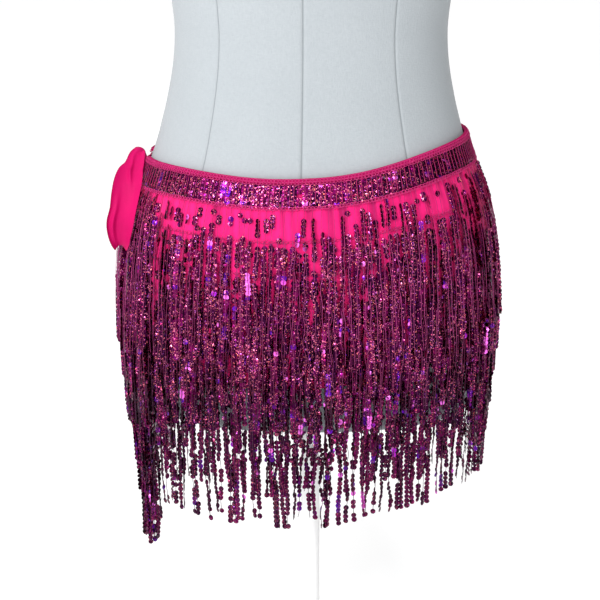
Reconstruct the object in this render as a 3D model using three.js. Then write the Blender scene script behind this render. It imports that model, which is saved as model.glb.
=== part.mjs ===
// A belly dance hip scarf, tied at the left hip of a limbless dress form on a stand.
// The scarf is a strip of cloth wrapped once round the hips. A sequinned waistband and a bound edge
// run along its top, six rows of sequin fringe hang from it, and its sash is tied in a half bow.
// Millimetres, +Z up. The front faces -Y and the bow is on the -X side.
// The origin is the centre of the stand's underside.
import * as THREE from "three";

// ---------------------------------------------------------------- driving sizes
const SEAM_GAP = 0.3; // between pieces that touch
const FORM_CLEARANCE = 1; // between the form's skin and the cloth

const degrees = THREE.MathUtils.degToRad;

const WAISTLINE_HEIGHT = 545; // the scarf's top edge at its sides, taken level
const WAISTLINE_RISE = 11; // the edge leans, up to the right and down to the left
const WAISTLINE_SAG = 15; // and sags in front
const SAG_REACH = degrees(38);

const BINDING_DEPTH = 4.2;
const BAND_DEPTH = 19.5;
const CLOTH_DEPTH = 186; // from the top edge to the hem
const CLOTH_THICKNESS = 1.4;
const BAND_THICKNESS = 1.9;

const FRINGE_ROWS = 6;
const FRINGE_STEP = 29.3; // from one row's heading to the next
const FRINGE_STEPS_LONG = 5; // a row is this many steps long
const FRINGE_FIRST = BINDING_DEPTH + BAND_DEPTH + 2 * SEAM_GAP; // the first heading, below the top edge
const FRINGE_THICKNESS = 1.6;
const CORNER_DROP = 62; // the corner by the bow droops, and its strands hang lower
const CORNER_REACH = degrees(13);

// Angles go round the form from the front centre, and are positive towards +X.
const SCARF_FROM = degrees(-80);
const SCARF_TO = degrees(260);
const ROUND_STEPS = 48;

const SECTION_POWER = 2.25; // 2 is an ellipse, and more is squarer

const STAND_BASE_RADIUS = 130;
const STAND_BASE_THICKNESS = 8;
const STAND_POLE_RADIUS = 9;
const STAND_COLLAR_RADIUS = 20;
const STAND_COLLAR_HEIGHT = 14;

// The form's level sections: their height over the waistline, half their width, and their depth
// before and behind the middle.
const FORM_SECTIONS = [
  { over: -252, side: 140, front: 89, back: 101 },
  { over: -249, side: 147, front: 96, back: 108 },
  { over: -240, side: 151, front: 100, back: 113 },
  { over: -200, side: 160, front: 108, back: 124 },
  { over: -154, side: 164, front: 114, back: 132 },
  { over: -106, side: 163.5, front: 117, back: 134 },
  { over: -77, side: 161.5, front: 116.5, back: 131 },
  { over: -45, side: 156, front: 113.5, back: 125.5 },
  { over: -10, side: 144.5, front: 108, back: 116 },
  { over: 9, side: 138, front: 104, back: 109 },
  { over: 38, side: 130.5, front: 98, back: 99 },
  { over: 71, side: 124.3, front: 93, back: 91 },
  { over: 101, side: 122.3, front: 90, back: 87.5 },
  { over: 126, side: 124.4, front: 90, back: 88 },
  { over: 158, side: 128, front: 91.5, back: 90.5 },
  { over: 166, side: 126, front: 89, back: 88 },
  { over: 170, side: 118, front: 81, back: 80 },
];

// Below the widest part of the hips the cloth and the fringe hang nearly straight down.
const HANGING_SECTIONS = [
  { over: -409, side: 158, front: 112, back: 128 },
  { over: -349, side: 158.5, front: 113, back: 129 },
  { over: -299, side: 160, front: 114, back: 130.5 },
  { over: -249, side: 162, front: 115, back: 132 },
  { over: -199, side: 163.5, front: 115, back: 133 },
];

// ---------------------------------------------------------------- materials
const matte = (color) =>
  new THREE.MeshStandardMaterial({ color, roughness: 0.85, metalness: 0 });
const pinkCloth = matte(0xf02a84);
const pinkSash = matte(0xeb1b76);
const pinkBinding = matte(0xd81f74);
const formCloth = matte(0xdfe3e6);
const sequins = new THREE.MeshStandardMaterial({ color: 0x6b1050, roughness: 0.35, metalness: 0.7 });
const whiteMetal = new THREE.MeshStandardMaterial({ color: 0xececec, roughness: 0.4, metalness: 0.3 });

// ---------------------------------------------------------------- level sections
// Four rows' values, smoothed between the middle two.
function smoothBetween(before, low, high, after, share) {
  const pullIn = (high - before) / 2;
  const pullOut = (after - low) / 2;
  const rise = high - low;
  return (
    low +
    share * pullIn +
    share ** 2 * (3 * rise - 2 * pullIn - pullOut) +
    share ** 3 * (pullIn + pullOut - 2 * rise)
  );
}

function sectionAt(sections, height) {
  const over = height - WAISTLINE_HEIGHT;
  const last = sections.length - 1;
  const above = sections.findIndex((row) => row.over >= over);
  const high = above < 0 ? last : Math.max(1, above);
  const rows = [high - 2, high - 1, high, high + 1].map(
    (at) => sections[Math.min(last, Math.max(0, at))],
  );
  const share = (over - rows[1].over) / (rows[2].over - rows[1].over);
  const inside = Math.min(1, Math.max(0, share));
  const value = (name) => smoothBetween(...rows.map((row) => row[name]), inside);
  return { side: value("side"), front: value("front"), back: value("back") };
}

const HIPS_OVER = -154;
const WORN_SECTIONS = [
  ...HANGING_SECTIONS,
  ...FORM_SECTIONS.filter((row) => row.over >= HIPS_OVER),
];

// A point on a level section, moved out by a distance.
function onSection({ side, front, back }, angle, height, out = 0) {
  const power = 2 / SECTION_POWER;
  const across = Math.sign(Math.sin(angle)) * Math.abs(Math.sin(angle)) ** power;
  const forward = Math.sign(Math.cos(angle)) * Math.abs(Math.cos(angle)) ** power;
  const depth = forward > 0 ? front : back;
  return new THREE.Vector3((side + out) * across, -(depth + out) * forward, height);
}

// A smooth bump of height 1, centred on 0. It wraps round, so that the back has no step.
function bump(angle, reach) {
  const turn = Math.atan2(Math.sin(angle), Math.cos(angle));
  return Math.exp(-((turn / reach) ** 2));
}

const topEdge = (angle) =>
  WAISTLINE_HEIGHT + WAISTLINE_RISE * Math.sin(angle) - WAISTLINE_SAG * bump(angle, SAG_REACH);

// A point of the worn scarf: so far round, so far below its top edge, and so far out from the form.
function onScarf(angle, drop, out) {
  const height = topEdge(angle) - drop;
  return onSection(sectionAt(WORN_SECTIONS, height), angle, height, out);
}

// ---------------------------------------------------------------- closed meshes
// A solid through loops of points, closed across its first loop and its last.
function solidThrough(loops) {
  const count = loops[0].length;
  const points = loops.flat();
  const faces = [];
  for (let run = 0; run < loops.length - 1; run += 1) {
    const here = run * count;
    const there = here + count;
    for (let at = 0; at < count; at += 1) {
      const next = (at + 1) % count;
      faces.push([here + at, there + at, there + next]);
      faces.push([here + at, there + next, here + next]);
    }
  }
  const lastLoop = (loops.length - 1) * count;
  for (let at = 0; at < Math.floor(count / 2) - 1; at += 1) {
    const across = count - 1 - at;
    for (const face of [[at, at + 1, across - 1], [at, across - 1, across]]) {
      faces.push(face);
      faces.push(face.map((corner) => lastLoop + corner).reverse());
    }
  }
  // The faces are turned round where the loops' order makes them point inwards.
  const volume = faces.reduce((sum, [a, b, c]) => {
    const cross = new THREE.Vector3().crossVectors(points[b], points[c]);
    return sum + points[a].dot(cross);
  }, 0);
  const index = volume < 0 ? faces.map(([a, b, c]) => [a, c, b]) : faces;
  const geometry = new THREE.BufferGeometry().setFromPoints(points);
  geometry.setIndex(index.flat());
  geometry.computeVertexNormals();
  return geometry;
}

// Cloth worn round the form. Each row gives its drop, and its inner and outer distance from the form.
function wornWall(rows, { from = SCARF_FROM, to = SCARF_TO, steps = ROUND_STEPS } = {}) {
  const loops = [];
  for (let step = 0; step <= steps; step += 1) {
    const angle = from + ((to - from) * step) / steps;
    const dropOf = (row) => (typeof row.drop === "function" ? row.drop(angle) : row.drop);
    const outside = rows.map((row) => onScarf(angle, dropOf(row), row.outer));
    const inside = rows.map((row) => onScarf(angle, dropOf(row), row.inner));
    loops.push([...outside, ...inside.reverse()]);
  }
  return solidThrough(loops);
}

// A strip of cloth along a path. Each row gives its middle, its width across X and its thickness.
function stripAlong(rows, thickness) {
  const middles = rows.map((row) => new THREE.Vector3(row.x, row.y, WAISTLINE_HEIGHT + row.over));
  const loops = rows.map((row, at) => {
    const ahead = middles[Math.min(at + 1, middles.length - 1)];
    const behind = middles[Math.max(at - 1, 0)];
    const along = ahead.clone().sub(behind).normalize();
    const across = new THREE.Vector3(1, 0, 0);
    across.addScaledVector(along, -across.dot(along)).normalize();
    const face = new THREE.Vector3().crossVectors(along, across);
    const corner = (side, up) =>
      middles[at]
        .clone()
        .addScaledVector(across, (side * row.width) / 2)
        .addScaledVector(face, (up * thickness) / 2);
    return [corner(-1, 1), corner(1, 1), corner(1, -1), corner(-1, -1)];
  });
  return solidThrough(loops);
}

const model = new THREE.Group();

function add(name, geometry, material) {
  const mesh = new THREE.Mesh(geometry, material);
  mesh.name = name;
  model.add(mesh);
  return mesh;
}

// ---------------------------------------------------------------- scarf: cloth, binding and band
const CLOTH_INNER = FORM_CLEARANCE;
const CLOTH_OUTER = CLOTH_INNER + CLOTH_THICKNESS;
const ON_CLOTH = CLOTH_OUTER + SEAM_GAP;
const BAND_OUTER = ON_CLOTH + BAND_THICKNESS;

const fringeDrop = (step) => FRINGE_FIRST + FRINGE_STEP * step;

// The cloth bends where the fringe's headings are sewn, so that the layers lie evenly on each other.
const headingDrops = Array.from({ length: FRINGE_ROWS }, (_, row) => fringeDrop(row));
const clothDrops = [BINDING_DEPTH + SEAM_GAP, ...headingDrops, CLOTH_DEPTH];
add(
  "hip_cloth",
  wornWall(clothDrops.map((drop) => ({ drop, inner: CLOTH_INNER, outer: CLOTH_OUTER }))),
  pinkCloth,
);

add(
  "top_binding",
  wornWall([0, BINDING_DEPTH].map((drop) => ({ drop, inner: CLOTH_INNER, outer: BAND_OUTER }))),
  pinkBinding,
);

const bandTop = BINDING_DEPTH + SEAM_GAP;
add(
  "sequin_waistband",
  wornWall([bandTop, bandTop + BAND_DEPTH].map((drop) => ({ drop, inner: ON_CLOTH, outer: BAND_OUTER }))),
  sequins,
);

// ---------------------------------------------------------------- scarf: rows of fringe
// Each row is sewn on under the one above, so a row steps out over the headings below its own.
const LAYER_STEP = FRINGE_THICKNESS + SEAM_GAP;
for (let row = 0; row < FRINGE_ROWS; row += 1) {
  const steps = [];
  for (let step = row; step <= row + FRINGE_STEPS_LONG; step += 1) {
    const rowsBeneath = Math.min(FRINGE_ROWS - 1, step) - row;
    const inner = ON_CLOTH + LAYER_STEP * rowsBeneath;
    const isTip = step === row + FRINGE_STEPS_LONG;
    const longer = isTip && row === FRINGE_ROWS - 1 ? CORNER_DROP : 0;
    steps.push({
      drop: (angle) => fringeDrop(step) + longer * bump(angle - SCARF_FROM, CORNER_REACH),
      inner,
      outer: inner + FRINGE_THICKNESS,
    });
  }
  add(`fringe_row_${row + 1}`, wornWall(steps), sequins);
}

// ---------------------------------------------------------------- sash: strap, knot, bow loop, tails
const SASH_THICKNESS = 1.6;
const STRAP = { top: 8, bottom: 24, out: 3, from: degrees(-99.6), to: degrees(-93.5) };
const KNOT = { x: -157.5, y: -9.5, over: -17, halfWidth: 8.4, halfDepth: 11.5, halfHeight: 12 };

// The strap runs from the back end of the waistband to the knot.
const strapRow = (drop) => ({ drop, inner: STRAP.out, outer: STRAP.out + SASH_THICKNESS });
add(
  "sash_strap",
  wornWall([strapRow(STRAP.top), strapRow(STRAP.bottom)], { from: STRAP.from, to: STRAP.to, steps: 2 }),
  pinkSash,
);

const knot = new THREE.SphereGeometry(1, 20, 12);
knot.scale(KNOT.halfWidth, KNOT.halfDepth, KNOT.halfHeight);
knot.translate(KNOT.x, KNOT.y, WAISTLINE_HEIGHT + KNOT.over);
add("sash_knot", knot, pinkSash);

// The half bow's loop hangs from the knot: its front leaf, its turn at the bottom, its back leaf.
const BOW_LOOP = [
  { x: -163, y: -26, over: -24, width: 12 },
  { x: -165, y: -40, over: -31, width: 17 },
  { x: -167.5, y: -49, over: -43, width: 22 },
  { x: -170, y: -53, over: -61, width: 25 },
  { x: -172, y: -52, over: -81, width: 25 },
  { x: -174.5, y: -46, over: -97, width: 19 },
  { x: -176.5, y: -36, over: -105, width: 12 },
  { x: -177.5, y: -26, over: -98, width: 15 },
  { x: -177, y: -21, over: -81, width: 19 },
  { x: -175, y: -20, over: -61, width: 20 },
  { x: -172.5, y: -17, over: -43, width: 16 },
  { x: -169.5, y: -13, over: -32, width: 9 },
];
add("bow_loop", stripAlong(BOW_LOOP, SASH_THICKNESS), pinkSash);

// The sash's two ends hang over the fringe, by the gap between the scarf's ends.
const TAIL_ROWS = [
  { drop: 36, inner: 6 },
  { drop: 62, inner: 8 },
  { drop: 92, inner: 11 },
  { drop: 125, inner: 13.9 },
  { drop: 185, inner: 14.2 },
];
const TAIL_END_INNER = 13;
const TAILS = [
  { name: "sash_tail_front", end: 248, from: degrees(-93), to: degrees(-86.5) },
  { name: "sash_tail_back", end: 228, from: degrees(-101.5), to: degrees(-94) },
];
for (const { name, end, from, to } of TAILS) {
  const rows = [...TAIL_ROWS, { drop: end, inner: TAIL_END_INNER }];
  const walls = rows.map((row) => ({ ...row, outer: row.inner + SASH_THICKNESS }));
  add(name, wornWall(walls, { from, to, steps: 3 }), pinkSash);
}

// ---------------------------------------------------------------- dress form and stand
const FORM_BOTTOM = WAISTLINE_HEIGHT + FORM_SECTIONS[0].over;
const FORM_TOP = WAISTLINE_HEIGHT + FORM_SECTIONS[FORM_SECTIONS.length - 1].over;
const FORM_RING_STEP = 30;
const FORM_EDGES = 12; // the rounded edges of the form's two ends
const formHeights = FORM_SECTIONS.filter(
  (row) => Math.min(row.over - FORM_SECTIONS[0].over, FORM_TOP - WAISTLINE_HEIGHT - row.over) < FORM_EDGES,
).map((row) => WAISTLINE_HEIGHT + row.over);
const ringCount = Math.floor((FORM_TOP - FORM_BOTTOM - 2 * FORM_EDGES) / FORM_RING_STEP);
for (let ring = 1; ring < ringCount; ring += 1) {
  formHeights.push(FORM_BOTTOM + FORM_EDGES + ring * FORM_RING_STEP);
}
formHeights.sort((low, high) => low - high);
const formLoops = formHeights.map((height) => {
  const section = sectionAt(FORM_SECTIONS, height);
  return Array.from({ length: ROUND_STEPS }, (_, step) =>
    onSection(section, SCARF_FROM + (2 * Math.PI * step) / ROUND_STEPS, height),
  );
});
add("form_body", solidThrough(formLoops), formCloth);

const turned = (profile) => {
  const points = profile.map(([radius, height]) => new THREE.Vector2(radius, height));
  return new THREE.LatheGeometry(points, 48).rotateX(Math.PI / 2);
};

const BASE_EDGE = 1.5; // the base's rounded rim, as one bevel
add(
  "stand_base",
  turned([
    [0, 0],
    [STAND_BASE_RADIUS, 0],
    [STAND_BASE_RADIUS, STAND_BASE_THICKNESS - BASE_EDGE],
    [STAND_BASE_RADIUS - BASE_EDGE, STAND_BASE_THICKNESS],
    [0, STAND_BASE_THICKNESS],
  ]),
  whiteMetal,
);

const collar = (low, high) =>
  turned([
    [STAND_POLE_RADIUS + SEAM_GAP, low],
    [STAND_COLLAR_RADIUS, low],
    [STAND_COLLAR_RADIUS, high],
    [STAND_POLE_RADIUS + SEAM_GAP, high],
    [STAND_POLE_RADIUS + SEAM_GAP, low],
  ]);
const onBase = STAND_BASE_THICKNESS + SEAM_GAP;
const underForm = FORM_BOTTOM - SEAM_GAP;
add("stand_collar_low", collar(onBase, onBase + STAND_COLLAR_HEIGHT), whiteMetal);
add("stand_collar_high", collar(underForm - STAND_COLLAR_HEIGHT, underForm), whiteMetal);
add(
  "stand_pole",
  turned([
    [0, onBase],
    [STAND_POLE_RADIUS, onBase],
    [STAND_POLE_RADIUS, underForm],
    [0, underForm],
  ]),
  whiteMetal,
);

export default model;
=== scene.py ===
import math
import bpy
import numpy as np
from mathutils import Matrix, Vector


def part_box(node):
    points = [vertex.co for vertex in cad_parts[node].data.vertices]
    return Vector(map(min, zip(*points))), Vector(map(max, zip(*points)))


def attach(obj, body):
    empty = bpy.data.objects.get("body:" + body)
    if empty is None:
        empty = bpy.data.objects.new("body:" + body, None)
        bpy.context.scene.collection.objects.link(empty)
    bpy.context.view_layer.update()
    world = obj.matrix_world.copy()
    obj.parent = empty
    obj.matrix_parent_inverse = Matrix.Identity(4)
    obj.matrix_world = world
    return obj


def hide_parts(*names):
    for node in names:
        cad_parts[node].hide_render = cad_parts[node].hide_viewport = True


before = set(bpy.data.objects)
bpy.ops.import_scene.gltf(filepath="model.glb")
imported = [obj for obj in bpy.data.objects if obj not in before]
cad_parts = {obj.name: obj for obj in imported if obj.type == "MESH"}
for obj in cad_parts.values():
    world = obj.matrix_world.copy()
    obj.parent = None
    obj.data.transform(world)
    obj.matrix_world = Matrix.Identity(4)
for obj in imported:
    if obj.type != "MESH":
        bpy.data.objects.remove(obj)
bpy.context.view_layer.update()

# ---------------------------------------------------------------- camera, floor and light
# The camera stands in front, a little above the waist, and looks down on the scarf. The floor is
# one wide pale sheet. The light is a bright room, a soft window front left and a small soft lamp.
VIEW_TARGET = Vector((-0.010, 0.0, 0.393))
VIEW_DISTANCE = 1.5
VIEW_ELEVATION = math.radians(15)
VIEW_WIDTH = 0.5639  # what the frame takes in at the target
SENSOR = 36.0

bpy.context.scene.view_settings.view_transform = "Standard"
camera = bpy.data.objects.new("Camera", bpy.data.cameras.new("Camera"))
bpy.context.collection.objects.link(camera)
camera.location = VIEW_TARGET + VIEW_DISTANCE * Vector(
    (0, -math.cos(VIEW_ELEVATION), math.sin(VIEW_ELEVATION))
)
camera.rotation_euler = (math.pi / 2 - VIEW_ELEVATION, 0, 0)
camera.data.sensor_width = SENSOR
camera.data.lens = SENSOR * VIEW_DISTANCE / VIEW_WIDTH
bpy.context.scene.camera = camera


class Wire:
    """A value between two nodes, so that sums on it are written as Python."""

    def __init__(self, tree, socket):
        self.tree = tree
        self.socket = socket

    def maths(self, operation, *terms):
        kind = "ShaderNodeMath"
        return add_node(self.tree, kind, {"operation": operation}, dict(enumerate(terms)))[0]

    def __add__(self, other):
        return self.maths("ADD", self, other)

    def __sub__(self, other):
        return self.maths("SUBTRACT", self, other)

    def __rsub__(self, other):
        return self.maths("SUBTRACT", other, self)

    def __mul__(self, other):
        return self.maths("MULTIPLY", self, other)

    def __gt__(self, other):
        return self.maths("GREATER_THAN", self, other)

    def __lt__(self, other):
        return self.maths("LESS_THAN", self, other)

    __radd__ = __add__
    __rmul__ = __mul__


def add_node(tree, kind, settings=None, sockets=None):
    """Adds a node, with its settings first, then its sockets' values or links. Gives its outputs."""
    node = tree.nodes.new(kind)
    for name, value in (settings or {}).items():
        if name == "stops":
            ramp = node.color_ramp.elements
            while len(ramp) < len(value):
                ramp.new(1.0)
            for stop, (place, colour) in zip(ramp, value):
                stop.position = place
                stop.color = (*colour, 1)
        else:
            setattr(node, name, value)
    for name, value in (sockets or {}).items():
        if isinstance(value, Wire):
            tree.links.new(value.socket, node.inputs[name])
        else:
            node.inputs[name].default_value = value
    return Outputs(tree, node)


class Outputs:
    """A node's outputs, by name or by number."""

    def __init__(self, tree, node):
        self.tree = tree
        self.node = node

    def __getitem__(self, name):
        return Wire(self.tree, self.node.outputs[name])


class Finish:
    """A material whose surface takes its sockets from set(), and whose nodes come from node()."""

    def __init__(self, name, **fixed):
        self.material = bpy.data.materials.new(name)
        self.material.use_nodes = True
        self.tree = self.material.node_tree
        self.tree.nodes.clear()
        self.surface = self.node("ShaderNodeBsdfPrincipled")
        self.node("ShaderNodeOutputMaterial", None, {"Surface": self.surface[0]})
        self.place = self.node("ShaderNodeTexCoord")["Object"]
        for words, value in fixed.items():
            self.set(words.replace("_", " ").title().replace("Ior", "IOR"), value)

    def node(self, kind, settings=None, sockets=None):
        return add_node(self.tree, kind, settings, sockets)

    def set(self, name, value):
        socket = self.surface.node.inputs[name]
        if isinstance(value, Wire):
            self.tree.links.new(value.socket, socket)
        else:
            socket.default_value = value

    def noise(self, scale, detail=2.0, roughness=0.5, place=None):
        sockets = {"Vector": place or self.place, "Scale": scale, "Detail": detail}
        sockets["Roughness"] = roughness
        return self.node("ShaderNodeTexNoise", None, sockets)["Fac"]

    def stretched(self, x, y, z):
        sockets = {"Vector": self.place, "Scale": (x, y, z)}
        return self.node("ShaderNodeMapping", None, sockets)[0]

    def ramp(self, value, stops):
        return self.node("ShaderNodeValToRGB", {"stops": stops}, {"Fac": value})["Color"]

    def mix(self, share, one, other, kind="MIX"):
        def colour(value):
            return value if isinstance(value, Wire) else (*value, 1)

        settings = {"data_type": "RGBA", "blend_type": kind}
        sockets = {0: share, 6: colour(one), 7: colour(other)}
        return self.node("ShaderNodeMix", settings, sockets)[2]

    def bump(self, height, distance, strength=1.0):
        sockets = {"Height": height, "Distance": distance, "Strength": strength}
        self.set("Normal", self.node("ShaderNodeBump", None, sockets)["Normal"])


def finish_piece(piece, material):
    """Gives a piece its material, and says which body it rides on."""
    if material:
        piece.data.materials.clear()
        piece.data.materials.append(material)
    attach(piece, "root")
    return piece


def mesh_piece(name, points, faces, smooth=True):
    mesh = bpy.data.meshes.new(name)
    mesh.from_pydata([tuple(p) for p in points], [], faces)
    mesh.polygons.foreach_set("use_smooth", [smooth] * len(mesh.polygons))
    mesh.update()
    piece = bpy.data.objects.new(name, mesh)
    bpy.context.collection.objects.link(piece)
    return piece


floor_paint = Finish("Pale floor", roughness=0.9)
floor_paint.set("Base Color", (0.98, 0.98, 0.98, 1))
floor_paint.set("Emission Color", (1, 1, 1, 1))
floor_paint.set("Emission Strength", 0.16)
FLOOR_HALF = 30.0
corners = [(x * FLOOR_HALF, y * FLOOR_HALF, -0.0005) for x, y in ((-1, -1), (1, -1), (1, 1), (-1, 1))]
floor = mesh_piece("Floor", corners, [(0, 1, 2, 3)])
floor.data.materials.append(floor_paint.material)

world = bpy.data.worlds.new("Bright room")
world.use_nodes = True
room = world.node_tree
direction = add_node(room, "ShaderNodeTexCoord")["Generated"]
BRIGHT_SIDE = (-0.72, -0.40, 0.56)
LEVEL_LIGHT = 0.58
SIDE_LIGHT = 0.8
LEAST_LIGHT = 0.1
dot = {"operation": "DOT_PRODUCT"}
towards = add_node(room, "ShaderNodeVectorMath", dot, {0: direction, 1: BRIGHT_SIDE})["Value"]
light_there = towards * SIDE_LIGHT + LEVEL_LIGHT
light_there = light_there.maths("MAXIMUM", light_there, LEAST_LIGHT)
room.links.new(light_there.socket, room.nodes["Background"].inputs["Strength"])
room.nodes["Background"].inputs["Color"].default_value = (1, 1, 1, 1)
bpy.context.scene.world = world


def soft_light(name, place, size, power):
    light = bpy.data.objects.new(name, bpy.data.lights.new(name, "AREA"))
    bpy.context.collection.objects.link(light)
    light.data.size = size
    light.data.energy = power
    light.location = place
    aim = VIEW_TARGET - Vector(place)
    light.rotation_euler = aim.to_track_quat("-Z", "Y").to_euler()


soft_light("Window", (-1.3, -2.2, 1.7), 0.9, 46)
soft_light("Lamp", (0.5, -1.7, 1.9), 0.25, 9)

# ---------------------------------------------------------------- dress form
# The limbless form is a hollow shell of papier mache, covered in pale linen. The linen is cut in
# eight panels, whose seams run down the middle, the sides and between.
MM = 0.001
SECTION_POWER = 2.25
FORM_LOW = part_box("form_body")[0][2]
# Level sections: height over the waistline, half the width, and the depth before and behind.
FORM_SECTIONS = [
    (-252, 140, 89, 101),
    (-249, 147, 96, 108),
    (-240, 151, 100, 113),
    (-200, 160, 108, 124),
    (-154, 164, 114, 132),
    (-106, 163.5, 117, 134),
    (-77, 161.5, 116.5, 131),
    (-45, 156, 113.5, 125.5),
    (-10, 144.5, 108, 116),
    (9, 138, 104, 109),
    (38, 130.5, 98, 99),
    (71, 124.3, 93, 91),
    (101, 122.3, 90, 87.5),
    (126, 124.4, 90, 88),
    (158, 128, 91.5, 90.5),
    (166, 126, 89, 88),
    (170, 118, 81, 80),
]
WAISTLINE = FORM_LOW - FORM_SECTIONS[0][0] * MM


def section_at(sections, height):
    """The width and the two depths at a height, smoothed between the table's rows."""
    table = np.array(sections) * MM
    over = np.asarray(height, float) - WAISTLINE
    last = len(table) - 1
    high = np.clip(np.searchsorted(table[:, 0], over), 1, last)
    rows = [table[np.clip(high + step, 0, last)] for step in (-2, -1, 0, 1)]
    share = (over - rows[1][..., 0]) / (rows[2][..., 0] - rows[1][..., 0])
    share = np.clip(share, 0, 1)[..., None]
    before, low, top, after = (row[..., 1:] for row in rows)
    pull_in = (top - before) / 2
    pull_out = (after - low) / 2
    rise = top - low
    values = low + share * pull_in + share**2 * (3 * rise - 2 * pull_in - pull_out)
    values = values + share**3 * (pull_in + pull_out - 2 * rise)
    return values[..., 0], values[..., 1], values[..., 2]


def on_section(sections, angle, height, out=0.0):
    """A point round a level section, moved out. Angles run from the front, positive towards +X."""
    side, front, back = section_at(sections, height)
    power = 2 / SECTION_POWER
    across = np.sign(np.sin(angle)) * np.abs(np.sin(angle)) ** power
    forward = np.sign(np.cos(angle)) * np.abs(np.cos(angle)) ** power
    depth = np.where(forward > 0, front, back)
    points = ((side + out) * across, -(depth + out) * forward, height + 0 * across)
    return np.stack(points, axis=-1)


def grid_faces(rows, columns, closed=False, first=0, flip=False):
    faces = []
    for row in range(rows - 1):
        for column in range(columns if closed else columns - 1):
            after = (column + 1) % columns
            face = [row * columns + column, row * columns + after]
            face += [(row + 1) * columns + after, (row + 1) * columns + column]
            faces.append([first + at for at in (reversed(face) if flip else face)])
    return faces


SEAMS = [math.radians(angle) for angle in (-2.5, 33, 88, 145, 180, 215, 272, 322)]
SEAM_DEPTH = 0.0007
SEAM_WIDTH = 0.0011
seam_steps = np.array([-3.4, -1.8, -0.9, 0, 0.9, 1.8, 3.4]) * MM / 0.14
form_angles = np.unique(
    np.round(
        np.concatenate(
            [np.linspace(0, 2 * math.pi, 120, endpoint=False)] + [seam + seam_steps for seam in SEAMS]
        )
        % (2 * math.pi),
        5,
    )
)


def seam_groove(angle):
    """How far a seam draws the cover in."""
    groove = 0 * angle
    for seam in SEAMS:
        off = np.arctan2(np.sin(angle - seam), np.cos(angle - seam)) * 0.14
        groove += np.exp(-((off / SEAM_WIDTH) ** 2))
    return SEAM_DEPTH * groove


table_heights = [row[0] * MM for row in FORM_SECTIONS]
form_heights = WAISTLINE + np.concatenate(
    [table_heights[:3], np.linspace(-0.235, 0.155, 60), np.linspace(0.158, 0.170, 7)]
)
angle_grid, height_grid = np.meshgrid(form_angles, form_heights)
form_points = on_section(FORM_SECTIONS, angle_grid, height_grid, -seam_groove(angle_grid))
rows, columns = angle_grid.shape
form_faces = grid_faces(rows, columns, closed=True)
form_points = list(form_points.reshape(-1, 3))
for row, turn in ((0, True), (rows - 1, False)):
    rim = list(range(row * columns, (row + 1) * columns))
    form_points.append(np.mean([form_points[at] for at in rim], axis=0))
    centre = len(form_points) - 1
    for at in range(columns):
        pair = [rim[at], rim[(at + 1) % columns]]
        form_faces.append([*(reversed(pair) if turn else pair), centre])
form_body = mesh_piece("Form_body", form_points, form_faces)
seam_line = np.append((seam_groove(angle_grid) / SEAM_DEPTH) ** 4, [0, 0]).astype(np.float32)
form_body.data.attributes.new("seam", "FLOAT", "POINT").data.foreach_set("value", seam_line)

linen = Finish("Pale linen", roughness=0.85, sheen_weight=0.15, specular_ior_level=0.25)
warp = linen.noise(900, 1, place=linen.stretched(1, 1, 0.25))
weft = linen.noise(900, 1, place=linen.stretched(0.3, 0.3, 1.4))
mottle = linen.noise(14, 3)
tint = linen.ramp(mottle, [(0.3, (0.365, 0.39, 0.41)), (0.7, (0.395, 0.42, 0.44))])
cover = linen.mix((warp + weft) * 0.5, tint, (0.30, 0.33, 0.35))
sewn = linen.node("ShaderNodeAttribute", {"attribute_name": "seam"})["Fac"]
linen.set("Base Color", linen.mix(sewn * 0.6, cover, (0.10, 0.115, 0.12)))
linen.bump(warp + weft, 0.00035, 0.5)
finish_piece(form_body, linen.material)
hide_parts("form_body")

# ---------------------------------------------------------------- stand
# A round steel plate and a pole, joined by two collars with set screws, all painted white.
paint = Finish("White paint", roughness=0.35, coat_weight=0.3)
paint.set("Base Color", paint.mix(paint.noise(30, 3), (0.86, 0.86, 0.86), (0.9, 0.9, 0.9)))
paint.bump(paint.noise(900, 2), 0.0001, 0.15)


def turned(name, profile, steps=96):
    """A turned piece through (radius, height) points. A profile off the axis closes on itself."""
    turn = np.linspace(0, 2 * math.pi, steps, endpoint=False)
    ring = [np.stack([r * np.cos(turn), r * np.sin(turn), 0 * turn + z], -1) for r, z in profile]
    points = list(np.concatenate(ring))
    faces = grid_faces(len(profile), steps, closed=True)
    if profile[0][0] < 1e-4 or profile[0] != profile[-1]:
        for row, flip in ((0, True), (len(profile) - 1, False)):
            rim = list(range(row * steps, (row + 1) * steps))
            faces.append(rim[::-1] if flip else rim)
    piece = mesh_piece(name, points, faces)
    piece.data.polygons.foreach_set("use_smooth", [True] * len(piece.data.polygons))
    return piece


def rounded(inner, outer, low, high, edge):
    """The outline of a turned ring or disc with rounded outer edges."""
    arc = [math.radians(angle) for angle in (0, 30, 60, 90)]
    lower = [(outer - edge + edge * math.sin(a), low + edge - edge * math.cos(a)) for a in arc]
    upper = [(outer - edge + edge * math.cos(a), high - edge + edge * math.sin(a)) for a in arc]
    return [(inner, low), *lower, *upper, (inner, high)]


for name, node, inner, edge in (
    ("Stand_base", "stand_base", 0.002, 0.0015),
    ("Stand_collar_low", "stand_collar_low", 0.0093, 0.0015),
    ("Stand_collar_high", "stand_collar_high", 0.0093, 0.0015),
    ("Stand_pole", "stand_pole", 0.001, 0.0004),
):
    low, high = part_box(node)
    piece = turned(name, rounded(inner, high[0], low[2], high[2], edge))
    finish_piece(piece, paint.material)
    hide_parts(node)

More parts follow.
